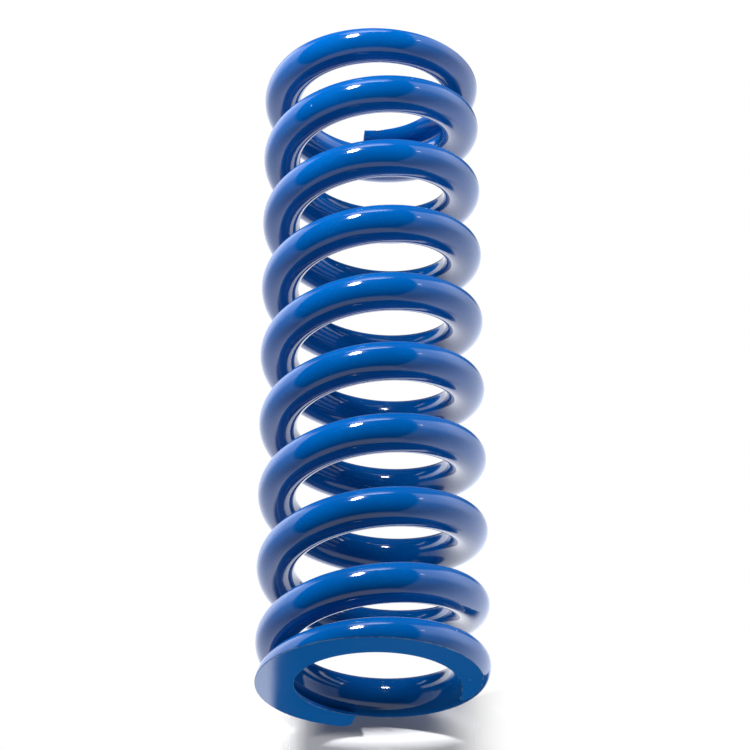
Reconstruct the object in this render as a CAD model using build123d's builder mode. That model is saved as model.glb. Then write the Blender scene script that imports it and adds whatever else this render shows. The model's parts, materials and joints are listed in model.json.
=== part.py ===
from build123d import *
from itertools import pairwise
import math
import os

# Coil-over compression spring: one round wire wound right-handed, with both ends closed and ground
# flat. A real spring is a single piece that bends everywhere. Here the wire is divided into its two
# end coils and its active coils, so that the spring can shorten as a stack of coils that slide along
# its axis. Millimetres. Z is the spring's axis, and the origin is the centre of the lower ground face.

# Driving dimensions
inner_diameter = 66.1
wire_diameter = 16.8
active_pitch = 34.85
total_turns = 9.98
lower_tip_angle = 102.6  # where the wire starts, counter-clockwise from +X seen from above

# Each end: turns at the closed pitch, turns over which the pitch opens up, and the tip's thickness
# once it is ground.
lower_end = {"closed": 0.865, "opening": 0.41, "tip_thickness": 3.6}
upper_end = {"closed": 0.525, "opening": 0.60, "tip_thickness": 5.5}
closing_gap = 0.25  # between a tip and the coil that lies on it

# Where the wire is divided
end_coil_turns = 1.48
active_coil_count = 7

# Making the solids
ramp_spans = 5  # spans swept one by one where the pitch opens up, since each stays exact
span_steps = 3  # steps from point to point along each of them
trim_allowance = 0.02  # turns swept past a cut, then trimmed back to it
trim_size = 1.5 * wire_diameter

# Derived dimensions
wire_radius = wire_diameter / 2
mean_radius = (inner_diameter + wire_diameter) / 2
active_coil_turns = (total_turns - 2 * end_coil_turns) / active_coil_count
first_cut = end_coil_turns
last_cut = total_turns - end_coil_turns


def opened_turns(turns, end):
    """Turns' worth of full pitch between an end's tip and a place this many turns from it."""
    share = min(max((turns - end["closed"]) / end["opening"], 0), 1)
    beyond = max(turns - end["closed"] - end["opening"], 0)
    return end["opening"] * (share**3 - share**4 / 2) + beyond


def closed_pitch(end):
    """The pitch next to the tip: one turn on, the wire lies over the tip with the closing gap."""
    opened = opened_turns(1, end)
    return (wire_diameter + closing_gap - active_pitch * opened) / (1 - opened)


def pitch_near(turns, end):
    """The pitch this many turns from an end's tip."""
    share = min(max((turns - end["closed"]) / end["opening"], 0), 1)
    return closed_pitch(end) + (active_pitch - closed_pitch(end)) * share**2 * (3 - 2 * share)


def height_near(turns, end):
    """How far the wire's centre is inside an end's ground face, this many turns from its tip."""
    opened = opened_turns(turns, end)
    tip_height = end["tip_thickness"] - wire_radius
    return tip_height + closed_pitch(end) * (turns - opened) + active_pitch * opened


middle_turn = total_turns / 2
free_length = height_near(middle_turn, lower_end) + height_near(middle_turn, upper_end)


def centre_height(turn):
    """Height of the wire's centre, counting turns from the lower tip."""
    if turn <= middle_turn:
        return height_near(turn, lower_end)
    return free_length - height_near(total_turns - turn, upper_end)


def pitch_at(turn):
    """Climb per turn, counting turns from the lower tip."""
    if turn <= middle_turn:
        return pitch_near(turn, lower_end)
    return pitch_near(total_turns - turn, upper_end)


def angle_at(turn):
    """Angle about the axis, in radians."""
    return math.radians(lower_tip_angle + 360 * turn)


def centre(turn):
    """The wire's centre."""
    angle = angle_at(turn)
    return Vector(mean_radius * math.cos(angle), mean_radius * math.sin(angle), centre_height(turn))


def outward(turn):
    """Unit vector from the axis towards the wire."""
    return Vector(math.cos(angle_at(turn)), math.sin(angle_at(turn)), 0)


def along_wire(turn):
    """Unit vector along the wire, upwards."""
    level = Vector(-math.sin(angle_at(turn)), math.cos(angle_at(turn)), 0)
    return (level * (2 * math.pi * mean_radius) + Vector(0, 0, pitch_at(turn))).normalized()


def section_plane(turn):
    """Plane square to the wire."""
    return Plane(origin=centre(turn), x_dir=outward(turn), z_dir=along_wire(turn))


def cutting_plane(turn):
    """Upright plane through the axis. Coils cut on it slide past each other without binding."""
    return Plane(origin=centre(turn), x_dir=outward(turn), z_dir=outward(turn).rotate(Axis.Z, 90))


def steady_path(first_turn, last_turn):
    """Centre line of a stretch with one pitch, as an exact helix."""
    pitch = pitch_at((first_turn + last_turn) / 2)
    climb = pitch * (last_turn - first_turn)
    start = Vector(0, 0, centre_height(first_turn))
    helix = Helix(pitch, climb, mean_radius, center=start, mode=Mode.PRIVATE)
    return helix.rotate(Axis.Z, math.degrees(angle_at(first_turn)))


def ramp_path(first_turn, last_turn):
    """Centre line of a short span where the pitch changes."""
    step = (last_turn - first_turn) / span_steps
    centres = [centre(first_turn + number * step) for number in range(span_steps + 1)]
    ends = [along_wire(first_turn), along_wire(last_turn)]
    return Spline(centres, tangents=ends, mode=Mode.PRIVATE)


def wire_paths(first_turn, ramp_start, ramp_end, last_turn):
    """Where each stretch of an end coil starts, and its centre line: steady, ramp spans, steady."""
    ramp_turns = [
        ramp_start + (ramp_end - ramp_start) * number / ramp_spans for number in range(ramp_spans + 1)
    ]
    paths = [(first_turn, steady_path(first_turn, ramp_start))]
    paths += [(start, ramp_path(start, end)) for start, end in pairwise(ramp_turns)]
    paths.append((ramp_end, steady_path(ramp_end, last_turn)))
    return paths


def save(piece, name):
    """Label a finished piece and write its file."""
    piece.part.label = name
    export_step(piece.part, f"parts/{name}.step")


os.makedirs("parts", exist_ok=True)

# Lower end coil: from the lower tip up to the first cut, ground flat underneath
closed_until = lower_end["closed"]
open_from = closed_until + lower_end["opening"]
with BuildPart() as lower_end_coil:
    for start, path in wire_paths(0, closed_until, open_from, first_cut + trim_allowance):
        with BuildSketch(section_plane(start)):
            Circle(wire_radius)
        sweep(path=path, is_frenet=True)
    with BuildSketch(cutting_plane(first_cut)):
        Rectangle(trim_size, trim_size)
    extrude(amount=trim_size, mode=Mode.SUBTRACT)
    split(bisect_by=Plane.XY, keep=Keep.TOP)
save(lower_end_coil, "lower_end_coil")

# Active coils, one after another
for number in range(1, active_coil_count + 1):
    first_turn = first_cut + (number - 1) * active_coil_turns
    last_turn = first_turn + active_coil_turns
    with BuildPart() as active_coil:
        with BuildSketch(section_plane(first_turn - trim_allowance)):
            Circle(wire_radius)
        sweep(path=steady_path(first_turn - trim_allowance, last_turn + trim_allowance), is_frenet=True)
        with BuildSketch(cutting_plane(first_turn)):
            Rectangle(trim_size, trim_size)
        extrude(amount=-trim_size, mode=Mode.SUBTRACT)
        with BuildSketch(cutting_plane(last_turn)):
            Rectangle(trim_size, trim_size)
        extrude(amount=trim_size, mode=Mode.SUBTRACT)
    save(active_coil, f"active_coil_{number}")

# Upper end coil: from the last cut up to the upper tip, ground flat on top
closed_from = total_turns - upper_end["closed"]
open_until = closed_from - upper_end["opening"]
with BuildPart() as upper_end_coil:
    for start, path in wire_paths(last_cut - trim_allowance, open_until, closed_from, total_turns):
        with BuildSketch(section_plane(start)):
            Circle(wire_radius)
        sweep(path=path, is_frenet=True)
    with BuildSketch(cutting_plane(last_cut)):
        Rectangle(trim_size, trim_size)
    extrude(amount=-trim_size, mode=Mode.SUBTRACT)
    split(bisect_by=Plane.XY.offset(free_length), keep=Keep.BOTTOM)
save(upper_end_coil, "upper_end_coil")

print("free length", round(free_length, 2), "outer diameter", inner_diameter + 2 * wire_diameter)
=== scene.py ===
from functools import partial
import json
import math

import bpy
import numpy as np
from mathutils import Matrix, Vector


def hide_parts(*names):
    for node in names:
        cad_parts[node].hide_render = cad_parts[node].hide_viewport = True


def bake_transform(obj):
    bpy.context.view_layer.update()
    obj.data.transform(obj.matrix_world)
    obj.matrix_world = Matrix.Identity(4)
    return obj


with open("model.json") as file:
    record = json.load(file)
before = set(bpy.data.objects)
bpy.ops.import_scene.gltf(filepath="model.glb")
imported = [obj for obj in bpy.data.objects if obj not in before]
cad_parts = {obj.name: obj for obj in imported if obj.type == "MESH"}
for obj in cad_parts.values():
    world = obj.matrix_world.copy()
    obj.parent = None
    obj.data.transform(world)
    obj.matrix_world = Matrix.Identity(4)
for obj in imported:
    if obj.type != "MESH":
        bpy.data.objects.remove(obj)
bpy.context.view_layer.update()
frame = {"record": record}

# ---------------------------------------------------------------------------------------------
# The spring's dimensions, in metres and turns. Inner radius and free length are the frame's own.
# ---------------------------------------------------------------------------------------------
MOUNTS = {mount["name"]: mount for mount in frame["record"]["mounts"]}
INNER_RADIUS = MOUNTS["guide_bore"]["dims"]["r_mm"] / 1000
FREE_LENGTH = MOUNTS["upper_seat"]["pos_m"][2]
WIRE_RADIUS = 0.0084
MEAN_RADIUS = INNER_RADIUS + WIRE_RADIUS
ACTIVE_PITCH = 0.03485
TOTAL_TURNS = 9.98
LOWER_TIP_ANGLE = 102.6
END_COIL_TURNS = 1.48
ACTIVE_COILS = 7
CLOSING_GAP = 0.00025
LOWER_END = {"closed": 0.865, "opening": 0.41, "tip_thickness": 0.0036}
UPPER_END = {"closed": 0.525, "opening": 0.60, "tip_thickness": 0.0055}
# What grinding leaves at each tip: the radius that rounds the outer corner, and a nick across the flat.
LOWER_TIP = {"corner": 0.0042, "nick_depth": 0.0}
UPPER_TIP = {"corner": 0.0012, "nick_depth": 0.0009}
NICK_START, NICK_STOP, NICK_SLOPE = 0.0066, 0.0100, 0.0007  # distances from the tip along the wire
GROUND_EDGE = 0.00045  # how far the rounding of a ground face's edge reaches
TIP_EDGE = 0.0004  # how far the rounding of the wire's cut tips reaches

# Mesh density. A ring of points has FLAT_POINTS on the side that may be ground flat, two at each edge
# of the flat, and ARC_POINTS on the round side.
RINGS_PER_TURN = 160
FLAT_POINTS = 13
ARC_POINTS = 41
RING_POINTS = FLAT_POINTS + ARC_POINTS + 4
EVEN_STEP = 2 * math.pi / RING_POINTS
MOST_EDGE = 0.4  # of half the flat, taken up by the rounding where the flat is narrow
EDGE_POINT, LAST_FLAT_POINT = 0.75, 0.5  # their angles, as shares of the angle where the edge ends
SPREAD_TURNS = 0.12  # past a flat's end, turns over which its points spread round the wire again
TINY_ANGLE = 0.02  # where the flat ends, between its points
SEARCH_TURNS = np.linspace(0, 1.2, 4801)  # among which the flat's end is found
RING_CLEARANCE = 0.3 / RINGS_PER_TURN  # an even ring this near an extra one is left out
FEATHER_TURNS, FEATHER_RINGS = 0.03, 9  # extra rings before the flat's end
TIP_SPAN, TIP_RINGS = 0.0045, 12  # extra rings at a tip
NICK_RINGS = 15


# ---------------------------------------------------------------------------------------------
# The wire's centre line, from the same formulas as the CAD model
# ---------------------------------------------------------------------------------------------
def opened_turns(turns, end):
    """Turns' worth of full pitch between an end's tip and a place this many turns from it."""
    share = np.clip((turns - end["closed"]) / end["opening"], 0, 1)
    beyond = np.maximum(turns - end["closed"] - end["opening"], 0)
    return end["opening"] * (share**3 - share**4 / 2) + beyond


def closed_pitch(end):
    """The pitch next to the tip: one turn on, the wire lies over the tip with the closing gap."""
    opened = opened_turns(1, end)
    return (2 * WIRE_RADIUS + CLOSING_GAP - ACTIVE_PITCH * opened) / (1 - opened)


def pitch_near(turns, end):
    """The pitch this many turns from an end's tip."""
    share = np.clip((turns - end["closed"]) / end["opening"], 0, 1)
    return closed_pitch(end) + (ACTIVE_PITCH - closed_pitch(end)) * share**2 * (3 - 2 * share)


def height_near(turns, end):
    """How far the wire's centre is inside an end's ground face, this many turns from its tip."""
    opened = opened_turns(turns, end)
    tip_height = end["tip_thickness"] - WIRE_RADIUS
    return tip_height + closed_pitch(end) * (turns - opened) + ACTIVE_PITCH * opened


def upright_share(turns, end):
    """Cosine of the wire's slope this many turns from an end's tip."""
    return 1 / np.hypot(1, pitch_near(turns, end) / (2 * np.pi * MEAN_RADIUS))


def flat_turns(end):
    """How many turns from the tip the ground face feathers out."""
    touches = height_near(SEARCH_TURNS, end) < WIRE_RADIUS * upright_share(SEARCH_TURNS, end)
    return SEARCH_TURNS[touches].max()


def smooth(share):
    """Smooth step from 0 to 1."""
    share = np.clip(share, 0, 1)
    return share**2 * (3 - 2 * share)


# ---------------------------------------------------------------------------------------------
# Meshes. All sections are worked out as for the lower end, counting turns from that end's tip with
# the ground face at height 0, and the upper half is turned over from them.
# ---------------------------------------------------------------------------------------------
def along_length(turns):
    """Distance along the wire's centre line that this many turns cover, near enough for details."""
    return turns * 2 * np.pi * MEAN_RADIUS


def section_points(from_tip, end, tip):
    """Points and normals round each section, as (outward, upward, along) the wire's own directions."""
    centre = height_near(from_tip, end) / upright_share(from_tip, end)
    flat_end = flat_turns(end)
    cut = (centre < WIRE_RADIUS) & (from_tip < flat_end)
    half_angle = np.where(cut, np.arccos(np.clip(centre / WIRE_RADIUS, -1, 1)), 0)
    half_flat = WIRE_RADIUS * np.sin(half_angle)
    edge = np.minimum(GROUND_EDGE, MOST_EDGE * half_flat)

    # Angles from the bottom of the wire: close together at the flat's edges, and even past its end
    spread = smooth((from_tip - flat_end) / SPREAD_TURNS)
    squeezed = np.maximum(half_angle + edge / WIRE_RADIUS, TINY_ANGLE)
    last_arc = squeezed + (8 * EVEN_STEP - squeezed) * spread
    middle = EDGE_POINT * squeezed + (7 * EVEN_STEP - EDGE_POINT * squeezed) * spread
    last_flat = LAST_FLAT_POINT * squeezed + (6 * EVEN_STEP - LAST_FLAT_POINT * squeezed) * spread

    across = np.linspace(-1, 1, FLAT_POINTS)
    angles = np.concatenate([
        across[None, :] * last_flat[:, None],
        middle[:, None],
        last_arc[:, None] + (2 * np.pi - 2 * last_arc[:, None]) * np.linspace(0, 1, ARC_POINTS + 2),
        2 * np.pi - middle[:, None],
    ], 1)
    sine, cosine = np.sin(angles), np.cos(angles)
    normals = np.stack([sine, -cosine, 0 * sine], 2)
    points = normals * WIRE_RADIUS

    # Where the wire is ground, the flat's own points lie on it, and its edges are rounded.
    distance = along_length(from_tip)
    nick = smooth((distance - NICK_START) / NICK_SLOPE) * smooth((NICK_STOP - distance) / NICK_SLOPE)
    flat_height = (tip["nick_depth"] * nick - centre)[cut, None]
    flat_reach = (half_flat - edge)[cut, None]
    points[cut, :FLAT_POINTS, 0] = across * flat_reach
    points[cut, :FLAT_POINTS, 1] = flat_height
    normals[cut, :FLAT_POINTS] = (0, -1, 0)
    corner = np.concatenate([half_flat[cut, None], flat_height], 1)
    for column, flat_column, arc_column, side in (
        (FLAT_POINTS, FLAT_POINTS - 1, FLAT_POINTS + 1, 1),
        (RING_POINTS - 1, 0, RING_POINTS - 2, -1),
    ):
        near_flat, near_arc = points[cut, flat_column, :2], points[cut, arc_column, :2]
        points[cut, column, :2] = 0.25 * near_flat + 0.5 * corner * (side, 1) + 0.25 * near_arc
        between = normals[cut, flat_column] + normals[cut, arc_column]
        normals[cut, column] = between / np.linalg.norm(between, axis=1)[:, None]
    return points, normals, cut


def ring_turns(first, last, end):
    """Turns from the tip at which a piece has rings: even, but closer at the tip and the flat's end."""
    turns = np.linspace(first, last, round((last - first) * RINGS_PER_TURN) + 1)
    flat_end = flat_turns(end)
    if first < flat_end < last:
        extra = flat_end - FEATHER_TURNS * np.linspace(0, 1, FEATHER_RINGS) ** 2
        apart = np.abs(turns[:, None] - extra[None, :]).min(1) > RING_CLEARANCE
        turns = np.sort(np.concatenate([turns[apart], extra]))
    if first == 0:
        close = TIP_SPAN / along_length(1) * np.linspace(0, 1, TIP_RINGS) ** 2
        nick = np.linspace(NICK_START - NICK_SLOPE, NICK_STOP + NICK_SLOPE, NICK_RINGS)
        nick = nick / along_length(1)
        turns = np.concatenate([close, nick, turns[turns > nick.max() + RING_CLEARANCE]])
    return turns


def rounding(distance, radius):
    """How far a rounded edge draws each ring in, and how far it tilts the normals towards the tip."""
    short = np.clip(1 - distance / radius, 0, 1)[:, None, None]
    return radius * (1 - np.sqrt(1 - short**2)), np.arcsin(short)


def tilted(normals, tilt):
    return normals * np.cos(tilt) - np.array((0, 0, 1)) * np.sin(tilt)


def round_tip(points, normals, distance, tip):
    """Round the outer corner of the wire's cut tip, and then its whole edge a little."""
    outer = np.clip(points[:, :, :1] / points[:, :, :1].max(1, keepdims=True), 0, 1)
    inset, tilt = rounding(distance, tip["corner"])
    points[:, :, :1] -= inset * outer
    normals[:] = tilted(normals, tilt * outer * np.clip(normals[:, :, :1], 0, 1))
    inset, tilt = rounding(distance, TIP_EDGE)
    points -= inset * normals
    normals[:] = tilted(normals, tilt)


def wire_rings(first, last, end, tip):
    """
    Rings of points and normals from `first` to `last` turns from an end's tip, the turns they are at,
    and marks for the material.
    """
    turns = ring_turns(first, last, end)
    points, normals, cut = section_points(turns, end, tip)
    if first == 0:
        round_tip(points, normals, along_length(turns), tip)
    slope = pitch_near(turns, end) / (2 * np.pi * MEAN_RADIUS)
    level = 1 / np.hypot(1, slope)
    angle = 2 * np.pi * turns
    outward = np.stack([np.cos(angle), np.sin(angle), 0 * angle], 1)
    along = np.stack([-np.sin(angle) * level, np.cos(angle) * level, slope * level], 1)
    upward = np.cross(outward, along)
    centres = outward * MEAN_RADIUS
    centres[:, 2] = height_near(turns, end)
    axes = np.stack([outward, upward, along], 1)
    world_points = centres[:, None, :] + np.einsum("rpk,rkx->rpx", points, axes)
    world_normals = np.einsum("rpk,rkx->rpx", normals, axes)
    level_face = np.abs(world_normals[cut, :FLAT_POINTS, 2:]) > 0.99
    world_normals[cut, :FLAT_POINTS] *= np.where(level_face, (0, 0, 1), (1, 1, 1))
    world_normals /= np.linalg.norm(world_normals, axis=2)[:, :, None]
    # Marks the line along each ground face's edges that the coat paints paler: rubbed-thin coat and a
    # painted highlight
    wear_and_highlight = np.zeros(points.shape[:2])
    wear_and_highlight[np.ix_(cut, (FLAT_POINTS, RING_POINTS - 1))] = 1
    ground = np.zeros(points.shape[:2])
    ground[cut, :FLAT_POINTS] = 1
    return world_points, world_normals, turns, {"edge_wear": wear_and_highlight, "ground": ground}


def place(vectors, from_top, shift):
    """Turn rings worked out from a tip into their place in the spring."""
    if from_top:
        # A half turn about a level axis turns the spring's end over and keeps the wire right-handed.
        angle = math.radians(LOWER_TIP_ANGLE + 360 * TOTAL_TURNS)
        turned = vectors * (1, -1, -1)
    else:
        angle = math.radians(LOWER_TIP_ANGLE)
        turned = vectors.copy()
    x = turned[..., 0] * math.cos(angle) - turned[..., 1] * math.sin(angle)
    y = turned[..., 0] * math.sin(angle) + turned[..., 1] * math.cos(angle)
    return np.stack([x, y, turned[..., 2] + (shift if from_top else 0)], -1)


def coil_mesh(name, first, last, end, tip, from_top):
    """One stretch of wire as a closed mesh with its exact normals and marks, and each vertex's turn."""
    points, normals, turns, marks = wire_rings(first, last, end, tip)
    verts = place(points, from_top, FREE_LENGTH).reshape(-1, 3)
    vert_normals = place(normals, from_top, 0).reshape(-1, 3)
    rings = len(turns)
    ring, point = np.meshgrid(np.arange(rings - 1), np.arange(RING_POINTS), indexing="ij")
    after = (point + 1) % RING_POINTS
    quads = np.stack([
        ring * RING_POINTS + point,
        (ring + 1) * RING_POINTS + point,
        (ring + 1) * RING_POINTS + after,
        ring * RING_POINTS + after,
    ], -1).reshape(-1, 4)
    start_cap = list(range(RING_POINTS))
    end_cap = list(range((rings - 1) * RING_POINTS, rings * RING_POINTS))[::-1]
    faces = quads.tolist() + [start_cap, end_cap]
    mesh = bpy.data.meshes.new(name)
    mesh.from_pydata(verts.tolist(), [], faces)
    mesh.shade_smooth()
    mesh.update()
    cap_normals = [mesh.polygons[len(quads) + number].normal.copy() for number in (0, 1)]
    loop_normals = np.concatenate([
        vert_normals[quads.ravel()],
        np.repeat([cap_normals[0]], RING_POINTS, 0),
        np.repeat([cap_normals[1]], RING_POINTS, 0),
    ])
    mesh.normals_split_custom_set(loop_normals.tolist())
    for mark, values in marks.items():
        attribute = mesh.attributes.new(mark, "FLOAT", "POINT")
        attribute.data.foreach_set("value", values.ravel().astype(np.float32))
    piece = bpy.data.objects.new(name, mesh)
    bpy.context.scene.collection.objects.link(piece)
    from_lower = TOTAL_TURNS - turns if from_top else turns
    return piece, np.repeat(from_lower, RING_POINTS)


def add_coil(node, first, last, end, tip, from_top, material):
    """A coil that stands for a CAD node, whose CAD part it hides."""
    piece, turns = coil_mesh(node + "_wire", first, last, end, tip, from_top)
    piece.data.materials.append(material)
    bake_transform(piece)
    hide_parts(node)
    return piece


# ---------------------------------------------------------------------------------------------
# Material: glossy blue powder coat
# ---------------------------------------------------------------------------------------------
def add_node(tree, kind, settings=None, links=None):
    """Add a node, set its inputs and properties by name, and link named inputs to sockets."""
    node = tree.nodes.new(kind)
    for name, value in (settings or {}).items():
        if name in node.inputs:
            node.inputs[name].default_value = value
        else:
            setattr(node, name, value)
    for name, socket in (links or {}).items():
        tree.links.new(socket, node.inputs[name])
    return node


def math_node(tree, operation, first, second=None):
    """Add a math node on one or two numbers or sockets, and return its result."""
    node = add_node(tree, "ShaderNodeMath", {"operation": operation})
    for number, value in enumerate((first, second)):
        if isinstance(value, (int, float)):
            node.inputs[number].default_value = value
        elif value is not None:
            tree.links.new(value, node.inputs[number])
    return node.outputs[0]


BLUE = (0.0, 0.081, 0.325, 1)
DEEP_BLUE = (0.0, 0.069, 0.28, 1)
PALE_BLUE = (0.004, 0.12, 0.40, 1)
# Painted light: the ground faces' brighter blue stands in for light from below that they don't get
GROUND_PAINTED_LIGHT_BLUE = (0.0, 0.20, 0.72, 1)
# Paler blue of the ground edges' line: rubbed-thin coat, and a painted highlight of the rounded edge
WORN_AND_HIGHLIT_BLUE = (0.10, 0.24, 0.42, 1)
DUST = (0.30, 0.42, 0.62, 1)


def powder_coat():
    """Blue gloss: rubbed thin along ground edges with a painted highlight there, satin and painted a
    brighter blue (painted light from below) on ground faces, with specks and orange peel.
    """
    material = bpy.data.materials.new("powder_coat")
    material.use_nodes = True
    tree = material.node_tree
    shader = tree.nodes["Principled BSDF"]
    place_on = add_node(tree, "ShaderNodeTexCoord").outputs["Object"]
    maths = partial(math_node, tree)

    def noise(scale, detail=2.0):
        settings = {"Scale": scale, "Detail": detail}
        return add_node(tree, "ShaderNodeTexNoise", settings, {"Vector": place_on}).outputs["Fac"]

    def ranged(value, start, stop, low=0.0, high=1.0):
        settings = {"From Min": start, "From Max": stop, "To Min": low, "To Max": high}
        return add_node(tree, "ShaderNodeMapRange", settings, {"Value": value}).outputs["Result"]

    def blend_colours(share, first, second):
        node = add_node(tree, "ShaderNodeMix", {"data_type": "RGBA"})
        tree.links.new(share, node.inputs["Factor"])
        for name, colour in (("A", first), ("B", second)):
            socket = next(i for i in node.inputs if i.name == name and i.type == "RGBA")
            if isinstance(colour, tuple):
                socket.default_value = colour
            else:
                tree.links.new(colour, socket)
        return next(o for o in node.outputs if o.type == "RGBA")

    edge = add_node(tree, "ShaderNodeAttribute", {"attribute_name": "edge_wear"}).outputs["Fac"]
    ground = add_node(tree, "ShaderNodeAttribute", {"attribute_name": "ground"}).outputs["Fac"]

    # Colour: slow drift in depth, ground faces painted a brighter blue as painted light from below,
    # patches of fine mottling, a paler line along ground edges that is both rubbed-thin coat and a
    # painted highlight, and a few dust specks
    drift = ranged(noise(22), 0.35, 0.65)
    colour = blend_colours(drift, DEEP_BLUE, BLUE)
    # Ground faces painted a brighter blue: painted light from below, not a different coat
    colour = blend_colours(maths("MULTIPLY", ground, 0.9), colour, GROUND_PAINTED_LIGHT_BLUE)
    patches = ranged(noise(45), 0.4, 0.7, 0.1, 0.6)
    mottling = maths("MULTIPLY", ranged(noise(1100, 3.0), 0.5, 0.7), patches)
    colour = blend_colours(mottling, colour, PALE_BLUE)
    # Paler line along ground edges: partly rubbed-thin coat, partly a painted highlight of the rounded
    # edge
    worn_and_highlit = maths("MULTIPLY", edge, ranged(noise(260, 4.0), 0.38, 0.62))
    colour = blend_colours(worn_and_highlit, colour, WORN_AND_HIGHLIT_BLUE)
    cells = add_node(tree, "ShaderNodeTexVoronoi", {"Scale": 160.0}, {"Vector": place_on})
    speck_size = ranged(noise(35), 0.55, 0.75, 0.0, 0.09)
    speck = maths("LESS_THAN", cells.outputs["Distance"], speck_size)
    colour = blend_colours(maths("MULTIPLY", speck, 0.6), colour, DUST)
    tree.links.new(colour, shader.inputs["Base Color"])

    # Roughness: satin where ground, and duller where worn, specked or handled
    handled = ranged(noise(60, 3.0), 0.4, 0.75, 0.07, 0.12)
    rough = maths("ADD", handled, maths("MULTIPLY", ground, 0.07))
    rough = maths("ADD", rough, maths("MULTIPLY", maths("MAXIMUM", worn_and_highlit, speck), 0.25))
    tree.links.new(rough, shader.inputs["Roughness"])
    shader.inputs["IOR"].default_value = 1.5

    # Relief: orange peel, a slower waviness, and specks that stand proud
    peel = maths("MULTIPLY", noise(380, 1.5), 0.08)
    waves = maths("MULTIPLY", noise(70, 1.0), 0.5)
    relief = maths("ADD", maths("ADD", peel, waves), maths("MULTIPLY", speck, 0.5))
    bump = add_node(tree, "ShaderNodeBump", {"Strength": 1.0, "Distance": 0.00003}, {"Height": relief})
    tree.links.new(bump.outputs["Normal"], shader.inputs["Normal"])
    return material


COAT = powder_coat()
LAST_CUT = TOTAL_TURNS - END_COIL_TURNS
COIL_TURNS = (LAST_CUT - END_COIL_TURNS) / ACTIVE_COILS
add_coil("lower_end_coil", 0, END_COIL_TURNS, LOWER_END, LOWER_TIP, False, COAT)
for number in range(ACTIVE_COILS):
    start = END_COIL_TURNS + number * COIL_TURNS
    add_coil(f"active_coil_{number + 1}", start, start + COIL_TURNS, LOWER_END, LOWER_TIP, False, COAT)
add_coil("upper_end_coil", 0, END_COIL_TURNS, UPPER_END, UPPER_TIP, True, COAT)


# ---------------------------------------------------------------------------------------------
# Camera: in front of the spring and below it, looking up along it
# ---------------------------------------------------------------------------------------------
CAMERA_AIM = Vector((0.0013, 0, 0.1485))
CAMERA_DISTANCE = 1.217
CAMERA_ELEVATION = math.radians(-29.24)
CAMERA_ROLL = math.radians(-0.22)
CAMERA_LENS = 131.3


def add_camera():
    data = bpy.data.cameras.new("camera")
    data.lens = CAMERA_LENS
    data.clip_start = 0.05
    data.clip_end = 50
    camera = bpy.data.objects.new("camera", data)
    bpy.context.scene.collection.objects.link(camera)
    forward = Vector((0, math.cos(CAMERA_ELEVATION), -math.sin(CAMERA_ELEVATION)))
    right = Vector((1, 0, 0))
    up = right.cross(forward)
    level = Matrix((right, up, -forward)).transposed()
    rolled = level @ Matrix.Rotation(CAMERA_ROLL, 3, "Z")
    camera.matrix_world = Matrix.Translation(CAMERA_AIM - forward * CAMERA_DISTANCE) @ rolled.to_4x4()
    bpy.context.scene.camera = camera


# ---------------------------------------------------------------------------------------------
# Studio: a white room that is dark behind the camera and is seen only in reflections, lamps, a floor,
# and a strip behind the spring's foot that the foot's shadow falls on
# ---------------------------------------------------------------------------------------------
LIGHT_AIM = Vector((0, 0, 0.15))
PALE_GREY = (0.88, 0.88, 0.9, 1)
GREY = (0.68, 0.68, 0.7, 1)
BLACK = (0.06, 0.06, 0.06, 1)
DARK_SIDE = math.radians(-15)  # azimuth of the middle of the room's dark front
CEILING_LIGHT = 0.08
SHADOW_DEPTH = 0.95
MATT_LOSS = 0.8  # share of the room's light that matt shading does without, since the lamps give it
SHEET_GAP = 0.0003  # between the spring and the sheets beside it
FLOOR = -SHEET_GAP
FLOOR_REACH = 3
BACK = MEAN_RADIUS + WIRE_RADIUS + SHEET_GAP


def compass(azimuth, elevation):
    """Unit vector at an azimuth from straight in front, to the right, and an elevation, in degrees."""
    a, e = math.radians(azimuth), math.radians(elevation)
    return Vector((math.sin(a) * math.cos(e), -math.cos(a) * math.cos(e), math.sin(e)))


def add_lamp(name, azimuth, elevation, distance, width, height, radiance, reflected=True):
    """Oval lamp aimed at the spring, or an oblong one that shows in no reflection."""
    data = bpy.data.lights.new(name, "AREA")
    data.shape = "ELLIPSE" if reflected else "RECTANGLE"
    data.size, data.size_y = width, height
    data.energy = math.pi * width * height * radiance
    lamp = bpy.data.objects.new(name, data)
    bpy.context.scene.collection.objects.link(lamp)
    direction = compass(azimuth, elevation)
    lamp.location = LIGHT_AIM + direction * distance
    lamp.rotation_euler = direction.to_track_quat("Z", "Y").to_euler()
    lamp.visible_glossy = reflected
    return lamp


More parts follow.
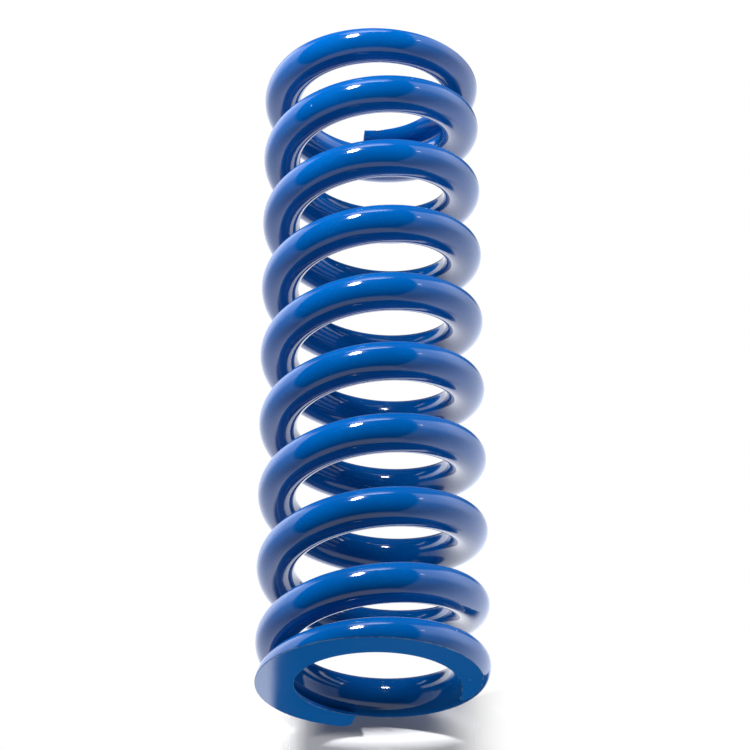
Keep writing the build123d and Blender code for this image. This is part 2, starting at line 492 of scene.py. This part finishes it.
def room_world():
    world = bpy.data.worlds.new("room")
    world.use_nodes = True
    tree = world.node_tree
    background = tree.nodes["Background"]
    direction = add_node(tree, "ShaderNodeTexCoord").outputs["Generated"]
    parts = add_node(tree, "ShaderNodeSeparateXYZ", links={"Vector": direction})
    maths = partial(math_node, tree)

    def ramp(value, start, stop, low=0.0, high=1.0):
        limits = {"From Min": math.radians(start), "From Max": math.radians(stop), "To Min": low,
                  "To Max": high, "interpolation_type": "SMOOTHSTEP"}
        return add_node(tree, "ShaderNodeMapRange", limits, {"Value": value}).outputs["Result"]

    def less(value):
        return maths("SUBTRACT", 1, value)

    azimuth = maths("ARCTAN2", parts.outputs["X"], maths("MULTIPLY", parts.outputs["Y"], -1))
    elevation = maths("ARCSINE", parts.outputs["Z"])
    aside = maths("ABSOLUTE", maths("SUBTRACT", azimuth, DARK_SIDE))
    behind = maths("ARCTAN2", parts.outputs["X"], parts.outputs["Y"])

    # Side walls, brighter above and a little brighter on the left, and the far wall, brightest low down
    upper = maths("MULTIPLY", ramp(elevation, 2, 25), ramp(aside, 140, 100))
    near_wall = maths("MULTIPLY", ramp(aside, 59, 64), maths("ADD", upper, 0.5))
    near_wall = maths("MULTIPLY", near_wall, ramp(azimuth, -30, 30, 1.25, 1.1))
    dimming = maths("MULTIPLY", ramp(aside, 95, 150), ramp(elevation, -5, 45, 0, 0.65))
    far_wall = maths("MULTIPLY", ramp(aside, 75, 145, 0, 1.6), less(dimming))
    # A white floor below the camera, and a dark patch where the spring's own shadow lies
    floor = ramp(elevation, -47, -60, 0, 1.2)
    shadow = maths("MULTIPLY", ramp(behind, -22, -6), less(ramp(behind, 34, 48)))
    shadow = maths("MULTIPLY", shadow, ramp(elevation, -28, -42))
    shadow = maths("MAXIMUM", shadow, ramp(elevation, -74, -82))
    room = maths("MULTIPLY", maths("MAXIMUM", maths("ADD", near_wall, far_wall), floor),
                 less(maths("MULTIPLY", shadow, SHADOW_DEPTH)))
    # A dark ceiling, which comes lower at the back
    raised = maths("ADD", elevation, ramp(aside, 130, 160, 0, math.radians(20)))
    ceiling = ramp(raised, 50, 60)
    ceiling_light = maths("MULTIPLY", ceiling, CEILING_LIGHT)
    lit = maths("ADD", maths("MULTIPLY", room, less(ceiling)), ceiling_light)
    # Plain white to the camera
    path = add_node(tree, "ShaderNodeLightPath").outputs
    lit = maths("MULTIPLY", lit, less(maths("MULTIPLY", path["Is Diffuse Ray"], MATT_LOSS)))
    seen = path["Is Camera Ray"]
    whole = maths("ADD", maths("MULTIPLY", less(seen), lit), seen)
    tree.links.new(whole, background.inputs["Strength"])
    background.inputs["Color"].default_value = (1, 1, 1, 1)
    bpy.context.scene.world = world


def one_sided(name, colour, fades):
    """
    Matt sheet that is see-through from behind. Each fade is a measure, where it starts and stops, and
    how see-through the sheet is past it.
    """
    material = bpy.data.materials.new(name)
    material.use_nodes = True
    tree = material.node_tree
    tree.nodes.remove(tree.nodes["Principled BSDF"])
    matt = add_node(tree, "ShaderNodeBsdfDiffuse", {"Color": colour})
    clear = add_node(tree, "ShaderNodeBsdfTransparent")
    place_on = add_node(tree, "ShaderNodeTexCoord").outputs["Object"]
    parts = add_node(tree, "ShaderNodeSeparateXYZ", links={"Vector": place_on})
    length = add_node(tree, "ShaderNodeVectorMath", {"operation": "LENGTH"})
    tree.links.new(place_on, length.inputs[0])
    measures = {"X": parts.outputs["X"], "Z": parts.outputs["Z"], "distance": length.outputs["Value"]}
    hidden = add_node(tree, "ShaderNodeNewGeometry").outputs["Backfacing"]
    for measure, start, stop, most in fades:
        limits = {"From Min": start, "From Max": stop, "To Max": most,
                  "interpolation_type": "SMOOTHSTEP"}
        fade = add_node(tree, "ShaderNodeMapRange", limits, {"Value": measures[measure]})
        hidden = math_node(tree, "MAXIMUM", hidden, fade.outputs["Result"])
    mix = add_node(tree, "ShaderNodeMixShader", links={"Fac": hidden})
    tree.links.new(matt.outputs[0], mix.inputs[1])
    tree.links.new(clear.outputs[0], mix.inputs[2])
    tree.links.new(mix.outputs[0], tree.nodes["Material Output"].inputs["Surface"])
    return material


def add_sheet(name, corners, material):
    """Flat sheet that casts no shadow and shows in no reflection."""
    mesh = bpy.data.meshes.new(name)
    mesh.from_pydata(corners, [], [(0, 1, 2, 3)])
    mesh.materials.append(material)
    sheet = bpy.data.objects.new(name, mesh)
    bpy.context.scene.collection.objects.link(sheet)
    sheet.visible_shadow = False
    sheet.visible_diffuse = False
    sheet.visible_glossy = False
    return sheet


def standing(left, right, bottom, top):
    """Corners of an upright sheet behind the spring that faces the front."""
    return [(left, BACK, bottom), (right, BACK, bottom), (right, BACK, top), (left, BACK, top)]


add_camera()
room_world()
# Azimuth and elevation, distance, width, height and radiance
add_lamp("key", -18.5, 38, 0.92, 0.16, 0.28, 60)
add_lamp("key_fill", -18.5, 40, 1.0, 0.30, 0.30, 33, reflected=False)
add_lamp("softbox", -6, 56.5, 1.0, 0.50, 0.15, 3.2)
add_lamp("softbox_edge", -8, 61, 1.05, 0.64, 0.34, 1.5)
add_lamp("window", 49, 24, 2.0, 0.12, 0.12, 12)
add_lamp("left_fill", -97, -14, 1.2, 0.4, 0.4, 17, reflected=False)
add_lamp("right_fill", 88, -15, 1.2, 0.4, 0.4, 17, reflected=False)
overhead = add_lamp("overhead", -12, 4.8, 1.3, 0.08, 0.08, 1600, reflected=False)

floor_corners = [(-FLOOR_REACH, -FLOOR_REACH, FLOOR), (FLOOR_REACH, -FLOOR_REACH, FLOOR),
                 (FLOOR_REACH, FLOOR_REACH, FLOOR), (-FLOOR_REACH, FLOOR_REACH, FLOOR)]
add_sheet("floor", floor_corners, one_sided("floor", PALE_GREY, [("distance", 0.35, 0.9, 1)]))

strip_fades = [("Z", 0.007, 0.019, 1), ("Z", 0.0, -0.0045, 0.27), ("X", -0.018, -0.048, 1),
               ("X", 0.020, 0.060, 1)]
strip = add_sheet("backdrop", standing(-0.4, 0.4, -0.3, 0.14), one_sided("backdrop", GREY, strip_fades))
lit_by_overhead = bpy.data.collections.new("lit_by_overhead")
lit_by_overhead.objects.link(strip)
overhead.light_linking.receiver_collection = lit_by_overhead

# A black card, seen only in reflections, stands in for the foot's shadow, which the ground face reflects
flag_fades = [("X", -0.0415, -0.0465, 1), ("Z", 0.006, 0.02, 1)]
flag = add_sheet("flag", standing(-0.055, 0.08, -0.07, 0.02), one_sided("flag", BLACK, flag_fades))
flag.visible_glossy = True
flag.visible_camera = False
bpy.context.scene.view_settings.view_transform = "Standard"
